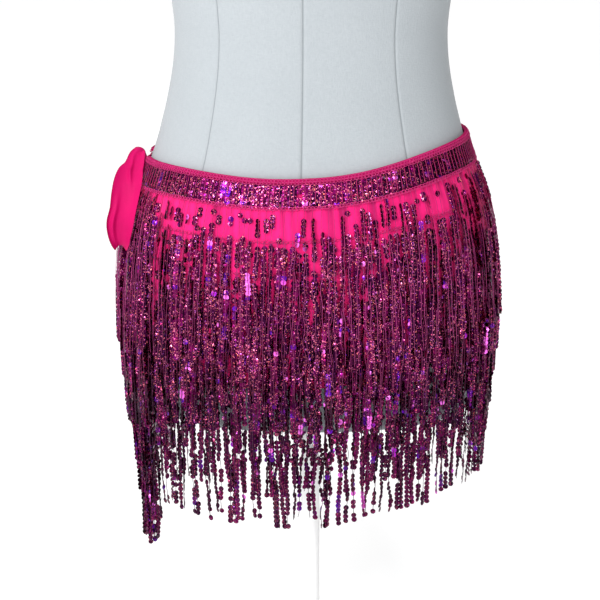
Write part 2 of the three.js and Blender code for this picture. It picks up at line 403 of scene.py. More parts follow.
# ---------------------------------------------------------------- hip cloth
# One strip of light pink polyester, wrapped round the hips and open at the bow side. Gathering on
# to the band puckers it, and its hem and both ends are turned up narrowly.
HIPS_OVER = -154
WORN_SECTIONS = [
    (-409, 158, 112, 128),
    (-349, 158.5, 113, 129),
    (-299, 160, 114, 130.5),
    (-249, 162, 115, 132),
    (-199, 163.5, 115, 133),
] + [row for row in FORM_SECTIONS if row[0] >= HIPS_OVER]
WAISTLINE_RISE = 11 * MM
WAISTLINE_SAG = 15 * MM
SAG_REACH = math.radians(38)
SCARF_FROM = math.radians(-80)
SCARF_TO = math.radians(260)
BAND_LOW = 24 * MM
CLOTH_DEPTH = 186 * MM


def bump_at(angle, reach):
    turn = np.arctan2(np.sin(angle), np.cos(angle))
    return np.exp(-((turn / reach) ** 2))


def top_edge(angle):
    lean = WAISTLINE_RISE * np.sin(angle)
    return WAISTLINE + lean - WAISTLINE_SAG * bump_at(angle, SAG_REACH)


def on_scarf(angle, drop, out):
    """A point of the worn scarf: so far round, so far below its top edge, so far out."""
    return on_section(WORN_SECTIONS, angle, top_edge(angle) - drop, out)


def evenly(count, drop=0.1):
    """Angles that are evenly spaced along the worn strip, from end to end."""
    fine = np.linspace(SCARF_FROM, SCARF_TO, 4001)
    line = on_scarf(fine, drop, 0.003)
    steps = np.linalg.norm(np.diff(line, axis=0), axis=1)
    run = np.concatenate([[0], np.cumsum(steps)])
    return np.interp(np.linspace(0, run[-1], count), run, fine)


def outward(angle, drop):
    """The direction straight out of the scarf at a point."""
    step = 0.002
    here = on_scarf(angle, drop, 0.0)
    along = on_scarf(angle + step, drop, 0.0) - here
    down = on_scarf(angle, drop + step, 0.0) - here
    normal = np.cross(down, along)
    return normal / np.linalg.norm(normal, axis=-1, keepdims=True)


def uneven(at, spacing, seed, count=4096):
    """A smooth random wave of about -1 to 1, with a new value at every spacing."""
    values = np.random.default_rng(seed).uniform(-1, 1, count)
    place = np.asarray(at) / spacing
    low = np.floor(place).astype(int)
    share = place - low
    share = share * share * (3 - 2 * share)
    return values[low % count] * (1 - share) + values[(low + 1) % count] * share


def wall(name, outer, inner):
    """A closed thin wall between two grids of points."""
    rows, columns = outer.shape[:2]
    points = np.concatenate([outer.reshape(-1, 3), inner.reshape(-1, 3)])
    faces = grid_faces(rows, columns) + grid_faces(rows, columns, first=rows * columns, flip=True)
    edge = [row * columns for row in range(rows)]
    edge += [(rows - 1) * columns + column for column in range(1, columns)]
    edge += [row * columns + columns - 1 for row in range(rows - 2, -1, -1)]
    edge += list(range(columns - 2, 0, -1))
    behind = rows * columns
    for at, here in enumerate(edge):
        there = edge[(at + 1) % len(edge)]
        faces.append([there, here, here + behind, there + behind])
    piece = mesh_piece(name, points, faces)
    return piece


cloth_round = evenly(560)
cloth_drops = np.concatenate([[2.5 * MM], np.linspace(5, 60, 26) * MM, np.linspace(66, 186, 21) * MM])
angle_grid, drop_grid = np.meshgrid(cloth_round, cloth_drops)
round_mm = angle_grid / MM * 0.15
gathers = uneven(round_mm + 3 * uneven(drop_grid / MM, 25, 5), 3.4, 11) + 0.6 * uneven(round_mm, 6.5, 12)
gathered = np.clip((drop_grid - BAND_LOW + 2 * MM) / (4 * MM), 0, 1) * np.exp(-(drop_grid - BAND_LOW) / 0.03)
falls = uneven(round_mm + 6 * uneven(drop_grid / MM, 40, 8), 16, 13) * np.clip(drop_grid / 0.08, 0, 1)
cloth_out = 2.1 * MM + 0.95 * MM * gathers * gathered + 0.5 * MM * falls
hem = np.clip(1 - (CLOTH_DEPTH - drop_grid) / (5 * MM), 0, 1)
cloth_outer = on_scarf(angle_grid, drop_grid, cloth_out + 0.3 * MM * hem)
cloth_inner = on_scarf(angle_grid, drop_grid, cloth_out - 0.5 * MM)
hip_cloth = wall("Hip_cloth", cloth_outer, cloth_inner)
# Painted shade: the valleys of the gathers are marked here, so that the cloth's colour can be painted darker
# there.
fold = np.clip(-gathers * gathered * 1.1, 0, 1).astype(np.float32).ravel()
painted_fold_shade_attribute = hip_cloth.data.attributes.new("fold", "FLOAT", "POINT")
painted_fold_shade_attribute.data.foreach_set("value", np.concatenate([fold, fold]))

pink_cloth = Finish("Hot pink cloth", roughness=0.7, sheen_weight=0.12, specular_ior_level=0.2)
weave = pink_cloth.noise(2600, 1, place=pink_cloth.stretched(1, 1, 0.4))
slubs = pink_cloth.noise(60, 3, place=pink_cloth.stretched(1, 1, 0.2))
pink_shade = pink_cloth.ramp(slubs, [(0.3, (0.80, 0.004, 0.15)), (0.7, (0.90, 0.010, 0.20))])
woven = pink_cloth.mix(weave * 0.3, pink_shade, (0.70, 0.008, 0.16))
# Painted shade: in the valleys of the gathers the cloth's colour is mixed towards a dark pink.
in_painted_fold_shade = pink_cloth.node("ShaderNodeAttribute", {"attribute_name": "fold"})["Fac"]
pink_cloth.set("Base Color", pink_cloth.mix(in_painted_fold_shade, woven, (0.42, 0.002, 0.10)))
pink_cloth.bump(weave + pink_cloth.noise(350, 2) * 1.5, 0.0002, 0.5)
finish_piece(hip_cloth, pink_cloth.material)
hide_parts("hip_cloth")

# ---------------------------------------------------------------- top binding
# A bias strip of the same cloth, folded over the strip's top edge and the band. It is about four
# millimetres deep and is held by a row of chain stitches along its lower edge.
binding_round = evenly(420)
BINDING_PROFILE = [(4.2, 1.2), (2.2, 1.0), (0.9, 1.1), (0.15, 1.9), (0, 2.8), (0.15, 3.7), (0.9, 4.5)]
BINDING_PROFILE += [(2.2, 4.9), (3.4, 4.8), (4.2, 4.3)]
loops = []
for drop, out in BINDING_PROFILE:
    swell = 0.12 * uneven(binding_round / MM * 0.15, 3, 21) * (out > 2)
    loops.append(on_scarf(binding_round, drop * MM + 0 * binding_round, (out + swell) * MM))
points = np.stack(loops, axis=1)
count = len(BINDING_PROFILE)
faces = grid_faces(len(binding_round), count, closed=True)
faces.append(list(range(count))[::-1])
faces.append([(len(binding_round) - 1) * count + at for at in range(count)])
top_binding = mesh_piece("Top_binding", points.reshape(-1, 3), [face[::-1] for face in faces])
binding_cloth = Finish("Pink bias strip", roughness=0.8, specular_ior_level=0.1)
twill = binding_cloth.noise(1500, 1, place=binding_cloth.stretched(1, 1, 0.5))
dyes = [(0.3, (0.36, 0.003, 0.08)), (0.7, (0.46, 0.005, 0.11))]
shade = binding_cloth.ramp(binding_cloth.noise(120, 3), dyes)
binding_cloth.set("Base Color", binding_cloth.mix(twill * 0.3, shade, (0.3, 0.003, 0.07)))
binding_cloth.bump(twill + binding_cloth.noise(400, 2), 0.0002, 0.6)
finish_piece(top_binding, binding_cloth.material)
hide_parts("top_binding")

# ---------------------------------------------------------------- sequins and their thread
# A sequin is a cup of metallised film, stamped out with a hole in the middle and strung on a mauve
# thread. The film throws small flashes of other colours. On the lowest strands the film and the thread
# are painted darker, and the film's flashes are weaker: this is painted shade.
SEQUIN_SIDES = 8
SEQUIN_WIDTH = 5.2 * MM
turns = [2 * math.pi * side / SEQUIN_SIDES for side in range(SEQUIN_SIDES)]
points = [(0.5 * math.cos(turn), 0.5 * math.sin(turn), 0.0) for turn in turns]
points += [(0, 0, 0.07), (0, 0, 0.02)]
faces = [(side, (side + 1) % SEQUIN_SIDES, SEQUIN_SIDES) for side in range(SEQUIN_SIDES)]
faces += [((side + 1) % SEQUIN_SIDES, side, SEQUIN_SIDES + 1) for side in range(SEQUIN_SIDES)]
SEQUIN_POINTS = points
SEQUIN_FACES = faces
sequin = mesh_piece("sequin_pattern", points, faces, smooth=False)
reach = sequin.data.attributes.new("from_middle", "FLOAT", "POINT")
reach.data.foreach_set("value", [1.0] * SEQUIN_SIDES + [0.0, 0.0])

film = Finish("Magenta sequin film", metallic=1.0, roughness=0.27, coat_weight=0.06)


def of_sequin(name):
    """A number that each sequin, or each of its points, carries."""
    return film.node("ShaderNodeAttribute", {"attribute_name": name})["Fac"]


tone = of_sequin("tone")
deep = film.ramp(
    tone,
    [
        (0.0, (0.016, 0.0004, 0.016)),
        (0.28, (0.038, 0.0006, 0.028)),
        (0.58, (0.085, 0.001, 0.040)),
        (0.76, (0.17, 0.003, 0.080)),
        (0.84, (0.075, 0.003, 0.22)),
        (0.95, (0.14, 0.008, 0.46)),
        (0.975, (0.50, 0.02, 0.52)),
        (1.0, (0.90, 0.16, 0.80)),
    ],
)
facets = {"feature": "F1"}
glitter = film.node("ShaderNodeTexVoronoi", facets, {"Vector": film.place, "Scale": 1300})["Color"]
flash = film.node("ShaderNodeSeparateColor", None, {"Color": glitter})
hue = film.ramp(
    flash["Green"],
    [(0.0, (1.0, 0.05, 0.25)), (0.45, (1.0, 0.30, 0.45)), (0.7, (1.0, 0.22, 0.12)), (1.0, (0.6, 0.12, 0.9))],
)
patch = film.noise(38, 2)
# Painted shade: by height, the film of the lowest strands is painted darker and its flashes are made weaker.
hanging = film.node("ShaderNodeSeparateXYZ", None, {"Vector": film.place})["Z"]
PAINTED_SHADE_FROM = 0.28
PAINTED_SHADE_DEPTH = 0.10
out_of_painted_shade = film.node("ShaderNodeClamp", None, {0: (hanging - PAINTED_SHADE_FROM) * (1 / PAINTED_SHADE_DEPTH)})[0]
spark = (flash["Red"] > (1.10 - patch * 0.5)) * (out_of_painted_shade * 0.45 + 0.25)
film_with_painted_shade = film.mix(out_of_painted_shade * 0.35 + 0.65, (0.012, 0.0008, 0.008), deep)
lit = film.mix(spark, film_with_painted_shade, hue)
hole = of_sequin("from_middle") < 0.2
film.set("Base Color", film.mix(hole, lit, (0.02, 0.002, 0.012)))
film.set("Roughness", flash["Blue"] * 0.2 + 0.2)

mauve = Finish("Mauve thread", roughness=0.6, specular_ior_level=0.3)
fibre = mauve.noise(900, 2) * 0.2
# Painted shade: by height, the thread is painted dark grey-purple on the lowest strands. Towards the top it
# is a darker pink.
height = mauve.node("ShaderNodeSeparateXYZ", None, {"Vector": mauve.place})["Z"]
painted_shade_thread = (0.05, 0.012, 0.035)
shades = [(0.02, painted_shade_thread), (0.2, (0.17, 0.014, 0.08)), (0.45, (0.31, 0.030, 0.15))]
shades += [(0.7, (0.33, 0.028, 0.15)), (0.82, (0.36, 0.010, 0.11))]
THREAD_LOW = 0.315
THREAD_DEPTH = 0.22
mauve.set("Base Color", mauve.ramp((height - THREAD_LOW) * (1 / THREAD_DEPTH) + fibre - 0.1, shades))


class Pattern:
    """A geometry node tree with named inputs, whose result is taken as a plain mesh."""

    def __init__(self, name, inputs):
        self.tree = bpy.data.node_groups.new(name, "GeometryNodeTree")
        self.tree.interface.new_socket("Geometry", in_out="INPUT", socket_type="NodeSocketGeometry")
        for label, kind in inputs.items():
            self.tree.interface.new_socket(label, in_out="INPUT", socket_type="NodeSocket" + kind)
        self.tree.interface.new_socket("Geometry", in_out="OUTPUT", socket_type="NodeSocketGeometry")
        self.inputs = self.node("NodeGroupInput")

    def node(self, kind, settings=None, sockets=None):
        return add_node(self.tree, kind, settings, sockets)

    def field(self, name, kind="FLOAT"):
        return self.node("GeometryNodeInputNamedAttribute", {"data_type": kind}, {"Name": name})[0]

    def give(self, geometry):
        self.node("NodeGroupOutput", None, {"Geometry": geometry})

    def apply(self, piece, values):
        modifier = piece.modifiers.new(self.tree.name, "NODES")
        modifier.node_group = self.tree
        for item in self.tree.interface.items_tree:
            if item.in_out == "INPUT" and item.name in values:
                modifier[item.identifier] = values[item.name]
        graph = bpy.context.evaluated_depsgraph_get()
        mesh = bpy.data.meshes.new_from_object(piece.evaluated_get(graph))
        piece.modifiers.clear()
        piece.data = mesh
        return piece


def sequins_on(pattern, points, selection=None):
    """Sets a sequin on each point, facing the point's own way with a random tilt."""
    inputs = pattern.inputs
    facing = {"axis": "Z", "pivot_axis": "AUTO"}
    rotation = pattern.node(
        "FunctionNodeAlignRotationToVector", facing, {"Vector": pattern.field("facing", "FLOAT_VECTOR")}
    )["Rotation"]
    tilt = pattern.node(
        "FunctionNodeRandomValue",
        {"data_type": "FLOAT_VECTOR"},
        {0: (-1, -1, -3), 1: (1, 1, 3), "Seed": inputs["Seed"]},
    )[0]
    tilt = pattern.node("ShaderNodeVectorMath", {"operation": "MULTIPLY"}, {0: tilt, 1: inputs["Tilt"]})[0]
    turn = pattern.node("FunctionNodeEulerToRotation", None, {0: tilt})[0]
    turned_on = pattern.node(
        "FunctionNodeRotateRotation", {"rotation_space": "LOCAL"}, {0: rotation, 1: turn}
    )[0]
    grow = pattern.node(
        "FunctionNodeRandomValue", {"data_type": "FLOAT"}, {2: 0.9, 3: 1.08, "Seed": inputs["Seed"]}
    )[1]
    source = pattern.node("GeometryNodeObjectInfo", None, {0: inputs["Sequin"]})["Geometry"]
    sockets = {
        "Points": points,
        "Instance": source,
        "Rotation": turned_on,
        "Scale": grow * inputs["Width"],
    }
    if selection:
        sockets["Selection"] = selection
    copies = pattern.node("GeometryNodeInstanceOnPoints", None, sockets)[0]
    chance = pattern.node(
        "FunctionNodeRandomValue", {"data_type": "FLOAT"}, {2: 0.0, 3: 1.0, "Seed": inputs["Seed"]}
    )[1]
    tones = pattern.field("shade") + (chance - 0.5) * 0.2 + (chance > 0.99) * 0.5
    named = {"data_type": "FLOAT", "domain": "INSTANCE"}
    stored = {"Geometry": copies, "Name": "tone", "Value": tones}
    copies = pattern.node("GeometryNodeStoreNamedAttribute", named, stored)[0]
    plain = pattern.node("GeometryNodeRealizeInstances", None, {"Geometry": copies})[0]
    return pattern.node("GeometryNodeSetMaterial", None, {"Geometry": plain, "Material": inputs["Film"]})[0]


def threads_on(pattern, curves):
    """A three-sided thread along each curve."""
    ring = pattern.node("GeometryNodeCurvePrimitiveCircle", None, {"Resolution": 3, "Radius": 1.0})["Curve"]
    ring = pattern.node(
        "GeometryNodeTransform", None, {"Geometry": ring, "Scale": pattern.inputs["Thread"]}
    )[0]
    scaled = {0: pattern.field("facing", "FLOAT_VECTOR"), "Scale": pattern.inputs["Lift"]}
    lift = pattern.node("ShaderNodeVectorMath", {"operation": "SCALE"}, scaled)[0]
    curves = pattern.node("GeometryNodeSetPosition", None, {"Geometry": curves, "Offset": lift})[0]
    cord = pattern.node(
        "GeometryNodeCurveToMesh", None, {"Curve": curves, "Profile Curve": ring, "Fill Caps": True}
    )[0]
    return pattern.node("GeometryNodeSetMaterial", None, {"Geometry": cord, "Material": mauve.material})[0]


STRUNG_INPUTS = {
    "Sequin": "Object",
    "Film": "Material",
    "Width": "Float",
    "Tilt": "Vector",
    "Thread": "Vector",
    "Lift": "Float",
    "Spacing": "Float",
    "Kept": "Float",
    "Seed": "Int",
}
strung = Pattern("Strung sequins", STRUNG_INPUTS)
curves = strung.node("GeometryNodeMeshToCurve", None, {"Mesh": strung.inputs["Geometry"]})[0]
beads = strung.node(
    "GeometryNodeResampleCurve", {"mode": "LENGTH"}, {"Curve": curves, "Length": strung.inputs["Spacing"]}
)[0]
chance = strung.node(
    "FunctionNodeRandomValue", {"data_type": "FLOAT"}, {2: 0.0, 3: 1.0, "Seed": strung.inputs["Seed"]}
)[1]
kept = (chance < strung.inputs["Kept"]) * strung.field("strung") > 0.5
both = {"Geometry": threads_on(strung, curves)}
joined = strung.node("GeometryNodeJoinGeometry", None, both)
strung.tree.links.new(sequins_on(strung, beads, kept).socket, joined.node.inputs[0])
strung.give(joined[0])


def flat_cells(piece):
    """A UV map for the bake: a cell for each sequin, and a narrow cell for each stretch of thread."""
    mesh = piece.data
    slots = np.empty(len(mesh.polygons), int)
    mesh.polygons.foreach_get("material_index", slots)
    starts = np.empty(len(mesh.polygons), int)
    mesh.polygons.foreach_get("loop_start", starts)
    totals = np.empty(len(mesh.polygons), int)
    mesh.polygons.foreach_get("loop_total", totals)
    beads = np.flatnonzero((totals == 3) & (slots == np.bincount(slots[totals == 3]).argmax()))
    cords = np.flatnonzero(totals == 4)
    cells = len(beads) // len(SEQUIN_FACES) + len(cords) // 3 + 1
    across = int(math.ceil(math.sqrt(cells)))
    place = np.full((len(mesh.loops), 2), 0.5 / across)
    at = np.arange(len(beads)) // len(SEQUIN_FACES)
    corner = np.array([[SEQUIN_POINTS[point][:2] for point in face] for face in SEQUIN_FACES])
    corner = corner[np.arange(len(beads)) % len(SEQUIN_FACES)] * 0.84 + 0.5
    loops = starts[beads][:, None] + np.arange(3)
    place[loops] = (np.stack([at % across, at // across], -1)[:, None, :] + corner) / across
    at = np.arange(len(cords)) // 3 + len(beads) // len(SEQUIN_FACES)
    lane = (np.arange(len(cords)) % 3)[:, None]
    square = np.array([[0.06, 0.1], [0.30, 0.1], [0.30, 0.9], [0.06, 0.9]])[None]
    square = square + lane[..., None] * [0.32, 0]
    loops = starts[cords][:, None] + np.arange(4)
    place[loops] = (np.stack([at % across, at // across], -1)[:, None, :] + square) / across
    mesh.uv_layers.new(name="OFBake").data.foreach_set("uv", place.astype(np.float32).ravel())


def strand_piece(name, paths, facings, strung_here, values):
    """Strands of sequins. paths and strung are arrays of strands by points."""
    strands, count = paths.shape[:2]
    mesh = bpy.data.meshes.new(name)
    edges = [(s * count + at, s * count + at + 1) for s in range(strands) for at in range(count - 1)]
    mesh.from_pydata(paths.reshape(-1, 3).tolist(), edges, [])
    facing = mesh.attributes.new("facing", "FLOAT_VECTOR", "POINT")
    facing.data.foreach_set("vector", facings.astype(np.float32).ravel())
    on = np.clip(strung_here, 0, 1).astype(np.float32)
    chance = np.random.default_rng(values["Seed"])
    run = np.arange(count)[None, :] + 311 * np.arange(strands)[:, None]
    shade = 0.42 + 0.20 * chance.normal(0, 1, strands)[:, None] + 0.16 * uneven(run, 5, values["Seed"])
    shade = np.clip(shade, 0.05, 0.80) + 0.36 * (uneven(run, 4, values["Seed"] + 50) > 0.76)
    shades = mesh.attributes.new("shade", "FLOAT", "POINT")
    shades.data.foreach_set("value", shade.astype(np.float32).ravel())
    mesh.attributes.new("strung", "FLOAT", "POINT").data.foreach_set("value", on.ravel())
    piece = bpy.data.objects.new(name, mesh)
    bpy.context.collection.objects.link(piece)
    fixed = {"Sequin": sequin, "Film": film.material, "Width": SEQUIN_WIDTH}
    strung.apply(piece, {**fixed, **values})
    flat_cells(piece)
    return piece


# ---------------------------------------------------------------- sequin waistband
# Short chains of sequins stand side by side on the strip, each overlapping the next like scales,
# and mauve thread runs down over every chain.
BAND_CHAINS = 182
chain_round = evenly(BAND_CHAINS + 2, 0.012)[1:-1]
chain_drops = np.linspace(5.6, 22.6, 9) * MM
shift = np.random.default_rng(31).normal(0, 0.0018, BAND_CHAINS)
angles = chain_round[:, None] + shift[:, None] + 0 * chain_drops[None, :]
drops = chain_drops[None, :] + 0 * angles
band_facing = outward(angles, drops) + np.array([0, 0, 0.28])
waistband = strand_piece(
    "Sequin_waistband",
    on_scarf(angles, drops, 4.0 * MM + 0 * angles),
    band_facing,
    np.ones(angles.shape),
    {
        "Tilt": Vector((0.12, 0.16, 1)),
        "Thread": Vector((0.36 * MM,) * 3),
        "Lift": 1.1 * MM,
        "Spacing": 2.3 * MM,
        "Kept": 0.98,
        "Seed": 3,
    },
)
finish_piece(waistband, None)
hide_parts("sequin_waistband")

# ---------------------------------------------------------------- sequin fringe
# Six rows of strands hang from headings stitched across the cloth. Each strand is a loop of thread
# that comes down and goes up again, so strands hang in pairs, and their first stretch is bare.
FRINGE_ROWS = 6
FRINGE_FIRST = 24.3 * MM
FRINGE_STEP = 29.3 * MM
ROW_LENGTH = 5 * FRINGE_STEP
LAYER_STEP = 1.9 * MM
STRAND_POINTS = 34
EVEN_STRANDS = 146
CORNER_STRANDS = 14
STRANDS = EVEN_STRANDS + CORNER_STRANDS
CORNER_DROP = 48 * MM
CORNER_TO = SCARF_FROM + math.radians(25)
TAILS_END = 225 * MM
FULL_LEVEL = -0.66  # the noise above which a strand carries sequins


def eased(value, start, end):
    share = np.clip((value - start) / (end - start), 0, 1)
    return share * share * (3 - 2 * share)


fringes = []
for row in range(FRINGE_ROWS):
    chance = np.random.default_rng(100 + row)
    corner_base = chance.uniform(SCARF_FROM + 0.02, CORNER_TO - 0.05, CORNER_STRANDS)
    base = np.sort(np.concatenate([evenly(EVEN_STRANDS + 2)[1:-1], corner_base]))
    pair = np.arange(STRANDS) // 2
    base = base + chance.normal(0, 0.005, STRANDS)
    heading = FRINGE_FIRST + FRINGE_STEP * row
    corner = 1 - eased(base, CORNER_TO - 0.12, CORNER_TO)
    length = ROW_LENGTH - 0.002 + chance.uniform(-0.010, 0.001, STRANDS // 2 + 1)[pair]
    length = length + CORNER_DROP * corner * (row + 1) / FRINGE_ROWS
    along = np.linspace(0, 1, STRAND_POINTS)[None, :]
    drops = heading + length[:, None] * along
    layers = np.clip((drops - heading) / FRINGE_STEP, 0, FRINGE_ROWS - 1 - row)
    out = (3.6 + chance.uniform(-0.3, 0.5, STRANDS))[:, None] * MM + LAYER_STEP * layers
    middle = (base[::2][pair] + base[1::2][np.minimum(pair, len(base[1::2]) - 1)]) / 2
    close = 0.6 * along**1.6 * chance.uniform(-0.4, 1.2, STRANDS // 2 + 1)[pair][:, None]
    sway = chance.normal(0, 0.014, STRANDS // 2 + 1)[pair] + 0.02 * uneven(base / MM * 0.15, 30, 40 + row)
    wander = uneven(drops / MM + 997 * np.arange(STRANDS)[:, None], 14, 60 + row) * 0.0075
    angles = base[:, None] * (1 - close) + middle[:, None] * close
    angles = angles + sway[:, None] * along**1.5 + wander * np.minimum(1, along * 4)
    angles = np.clip(angles, SCARF_FROM + 0.01, SCARF_TO - 0.01)
    over_tails = np.exp(-(((base - SCARF_FROM) / math.radians(8)) ** 2))[:, None]
    over_tails = over_tails * np.clip(along * 2.2, 0, 1) * (1 - eased(drops, TAILS_END, TAILS_END + 0.04))
    angles = angles - math.radians(14) * over_tails
    out = out + 8.5 * MM * over_tails * (1 - 0.55 * eased(drops, 0.1, 0.2))
    paths = on_scarf(angles, drops, out)
    facing = outward(angles, drops)
    sides = eased(np.abs(np.sin(base)), 0.6, 0.95)[:, None]
    yaw = (0.35 + 0.45 * sides) * chance.normal(0, 1, STRANDS)[:, None]
    yaw = yaw + (0.45 + 0.5 * along) * uneven(drops / MM + 577 * np.arange(STRANDS)[:, None], 28, 260 + row)
    level = np.stack([-facing[..., 1], facing[..., 0], 0 * angles], -1)
    facing = facing * np.cos(yaw)[..., None] + level * np.sin(yaw)[..., None] + np.array([0, 0, 0.12])
    bare = chance.uniform(0.02, 0.09, STRANDS)[:, None]
    alone = uneven(drops / MM + 733 * np.arange(STRANDS)[:, None], 9, 160 + row)
    together = uneven(drops / MM + 733 * (np.arange(STRANDS) // 3)[:, None], 10, 170 + row)
    groups = np.where(drops - heading < 1.05 * FRINGE_STEP, 0.45 * alone + 0.75 * together, alone)
    full = FULL_LEVEL - 0.4 * corner[:, None]
    sparse = -0.02 - 0.45 * sides if row == 0 else -0.16
    wanted = np.where(drops - heading < 1.05 * FRINGE_STEP, sparse, full)
    here = (groups > wanted) & (along >= bare)
    low_row = row >= 3
    fringe = strand_piece(
        f"Fringe_row_{row + 1}",
        paths,
        facing,
        here,
        {
            "Tilt": Vector((0.2, 0.3, 1)) if low_row else Vector((0.16, 0.22, 1)),
            "Thread": Vector((0.29 * MM,) * 3),
            "Lift": 0.5 * MM if low_row else 1.1 * MM,
            "Spacing": 4.2 * MM if low_row else 3.9 * MM,
            "Kept": 0.95,
            "Seed": 10 + row,
        },
    )
    finish_piece(fringe, None)
    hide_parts(f"fringe_row_{row + 1}")
    fringes.append(fringe)
bpy.data.objects.remove(sequin)

# ---------------------------------------------------------------- chain stitches
# Rows of machine chain stitch in pink thread hold the binding, the band's lower edge and the lower
# five fringe headings. Each stitch is one small loop that starts inside the one before it.
LINK_TURNS = 8
link_points = []
for at in range(LINK_TURNS):
    turn = 2 * math.pi * at / LINK_TURNS
    way = Vector((math.cos(turn), math.sin(turn) * (0.42 - 0.12 * math.cos(turn)), 0.12 * math.cos(turn)))
    side_way = Vector((math.cos(turn), math.sin(turn), 0)) * 0.13
    centre = Vector((way.x * 0.62, way.y, way.z))
    link_points += [centre + side_way, centre - side_way * 0.6 + Vector((0, 0, 0.12))]
    link_points += [centre - side_way * 0.6 - Vector((0, 0, 0.12))]
link_faces = grid_faces(LINK_TURNS, 3, closed=True)
last = (LINK_TURNS - 1) * 3
link_faces += [(last + at, last + (at + 1) % 3, (at + 1) % 3, at) for at in range(3)]
link = mesh_piece("stitch_pattern", link_points, link_faces)

stitched = Pattern("Chain stitch", {"Link": "Object", "Length": "Float", "Spacing": "Float", "Seed": "Int"})
rows_of = stitched.node("GeometryNodeMeshToCurve", None, {"Mesh": stitched.inputs["Geometry"]})[0]
places = stitched.node(
    "GeometryNodeCurveToPoints",
    {"mode": "LENGTH"},
    {"Curve": rows_of, "Length": stitched.inputs["Spacing"]},
)
outward_way = stitched.node(
    "FunctionNodeAlignRotationToVector",
    {"axis": "Z", "pivot_axis": "AUTO"},
    {"Vector": stitched.field("facing", "FLOAT_VECTOR")},
)["Rotation"]
along_way = stitched.node(
    "FunctionNodeAlignRotationToVector",
    {"axis": "X", "pivot_axis": "Z"},
    {"Rotation": outward_way, "Vector": places["Tangent"]},
)["Rotation"]
varied = stitched.node(
    "FunctionNodeRandomValue", {"data_type": "FLOAT"}, {2: 0.8, 3: 1.15, "Seed": stitched.inputs["Seed"]}
)[1]
stitch_source = stitched.node("GeometryNodeObjectInfo", None, {0: stitched.inputs["Link"]})["Geometry"]
links = stitched.node(
    "GeometryNodeInstanceOnPoints",
    None,
    {
        "Points": places[0],
        "Instance": stitch_source,
        "Rotation": along_way,
        "Scale": varied * stitched.inputs["Length"],
    },
)[0]
links = stitched.node("GeometryNodeRealizeInstances", None, {"Geometry": links})[0]
pink_thread = Finish("Pink sewing thread", roughness=0.55, specular_ior_level=0.3)
twist = pink_thread.noise(1800, 2)
dyes = [(0.3, (0.36, 0.006, 0.10)), (0.7, (0.70, 0.035, 0.22))]
pink_thread.set("Base Color", pink_thread.ramp(twist, dyes))
stitched.give(
    stitched.node("GeometryNodeSetMaterial", None, {"Geometry": links, "Material": pink_thread.material})[0]
)


def stitch_rows(name, lines, length, spacing, seed):
    """Rows of chain stitch. Each line gives a drop below the top edge and a distance out."""
    round_here = evenly(800)
    paths = np.stack([on_scarf(round_here, drop, out) for drop, out in lines])
    facings = np.stack([outward(round_here, drop) for drop, out in lines])
    count = len(round_here)
    mesh = bpy.data.meshes.new(name)
    edges = [(s * count + at, s * count + at + 1) for s in range(len(lines)) for at in range(count - 1)]
    mesh.from_pydata(paths.reshape(-1, 3).tolist(), edges, [])
    facing = mesh.attributes.new("facing", "FLOAT_VECTOR", "POINT")
    facing.data.foreach_set("vector", facings.astype(np.float32).ravel())
    piece = bpy.data.objects.new(name, mesh)
    bpy.context.collection.objects.link(piece)
    stitched.apply(piece, {"Link": link, "Length": length, "Spacing": spacing, "Seed": seed})
    return finish_piece(piece, None)


binding_rows = [(1.3 * MM, 5.1 * MM), (3.6 * MM, 5.4 * MM)]
edge_stitches = stitch_rows("Edge_stitches", binding_rows, 2.8 * MM, 3.0 * MM, 5)
band_stitches = stitch_rows("Band_stitches", [(24.6 * MM, 5.0 * MM)], 3.1 * MM, 3.1 * MM, 6)
headings = [(FRINGE_FIRST + FRINGE_STEP * row, 3.4 * MM) for row in range(1, FRINGE_ROWS)]
heading_stitches = stitch_rows("Heading_stitches", headings, 2.8 * MM, 4.0 * MM, 7)
bpy.data.objects.remove(link)
dressings = [top_binding, waistband, edge_stitches, band_stitches, heading_stitches] + fringes

# ---------------------------------------------------------------- sash: bow loop, knot, strap, tails
# The strip's plain ends are a sash of satin-faced cloth. They are tied once in a half bow, whose
# loop hangs in front of the knot, and the two ends fall over the fringe.
satin = Finish("Hot pink satin", roughness=0.6, specular_ior_level=0.1)
thread = satin.noise(2400, 1, place=satin.stretched(1, 1, 0.3))
lustre = satin.ramp(satin.noise(25, 3), [(0.3, (0.48, 0.0012, 0.096)), (0.7, (0.55, 0.002, 0.112))])
satin.set("Base Color", satin.mix(thread * 0.25, lustre, (0.42, 0.002, 0.08)))
satin.bump(thread + satin.noise(200, 2), 0.00015, 0.4)

# The loop's path: across, depth, height over the waistline, and the cloth's width there.
LOOP_PATH = [
    (-155.5, -17, -7, 11),
    (-157.2, -22, -10, 14.5),
    (-159, -31, -17, 18),
    (-161.8, -38, -22.5, 23.5),
    (-163.7, -45, -30.5, 26),
    (-165.8, -50, -41.5, 25.5),
    (-168.2, -53, -55, 23),
    (-171, -53, -67, 23),
    (-172.2, -50, -77.5, 21),
    (-172.2, -46, -87.5, 17),
    (-172.5, -40, -94, 11),
    (-174, -33, -94, 10),
    (-175, -28, -85, 13),
    (-175, -25, -72, 15),
    (-173, -23, -55, 16),
    (-169, -20, -38, 14),
    (-163, -15, -26, 10),
]


def smooth_rows(rows, count):
    """A table's rows as a smooth run of count rows."""
    table = np.array(rows, float)
    place = np.linspace(0, len(table) - 1, count)
    low = np.clip(place.astype(int), 0, len(table) - 2)
    share = (place - low)[:, None]
    pick = [table[np.clip(low + step, 0, len(table) - 1)] for step in (-1, 0, 1, 2)]
    pull_in = (pick[2] - pick[0]) / 2
    pull_out = (pick[3] - pick[1]) / 2
    rise = pick[2] - pick[1]
    curve = pick[1] + share * pull_in + share**2 * (3 * rise - 2 * pull_in - pull_out)
    return curve + share**3 * (pull_in + pull_out - 2 * rise)


